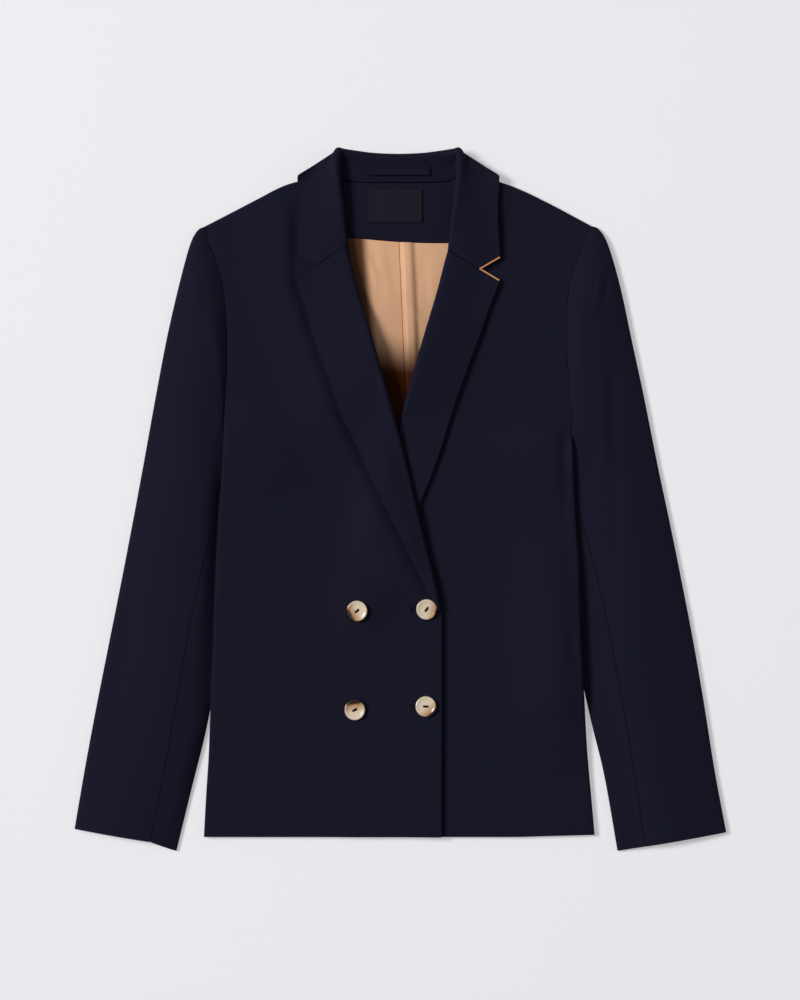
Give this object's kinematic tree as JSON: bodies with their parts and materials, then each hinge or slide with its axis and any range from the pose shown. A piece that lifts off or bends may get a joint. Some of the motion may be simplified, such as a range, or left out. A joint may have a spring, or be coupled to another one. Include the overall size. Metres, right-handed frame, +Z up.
{
  "type": "double breasted blazer",
  "caption": "Double breasted wool blazer with notch lapels, a satin lining at the neck and horn buttons, laid flat with its sleeves at its sides.",
  "frame": {"origin": "on the surface that the blazer lies on, under the middle of its outline", "axes": "+Y from the hem to the collar, +X to the wearer's left, +Z up off the surface, out of the front"},
  "size_m": [0.6652, 0.7161, 0.02],
  "materials": {
    "navy_wool": "dark navy wool twill, matt",
    "satin_lining": "copper satin, soft sheen",
    "woven_label": "dark woven label, slight sheen, bare",
    "horn_button": "polished horn, cream to brown",
    "copper_piping": "copper contrast edge"
  },
  "bodies": {
    "root": {"back": "navy_wool", "back_neck_facing": "navy_wool", "lining_back": "satin_lining", "neck_label": "woven_label", "front_left": "navy_wool", "lapel_facing_left": "navy_wool", "front_right": "navy_wool", "lapel_facing_right": "navy_wool", "collar_fall": "navy_wool", "collar_stand": "navy_wool", "hanger_loop": "navy_wool", "notch_piping_collar": "copper_piping", "notch_piping_lapel": "copper_piping", "sleeve_upper_right": "navy_wool", "sleeve_under_right": "navy_wool", "sleeve_upper_left": "navy_wool", "sleeve_under_left": "navy_wool", "button_outer_top": "horn_button", "button_inner_top": "horn_button", "button_outer_low": "horn_button", "button_inner_low": "horn_button"}
  },
  "joints": []
}
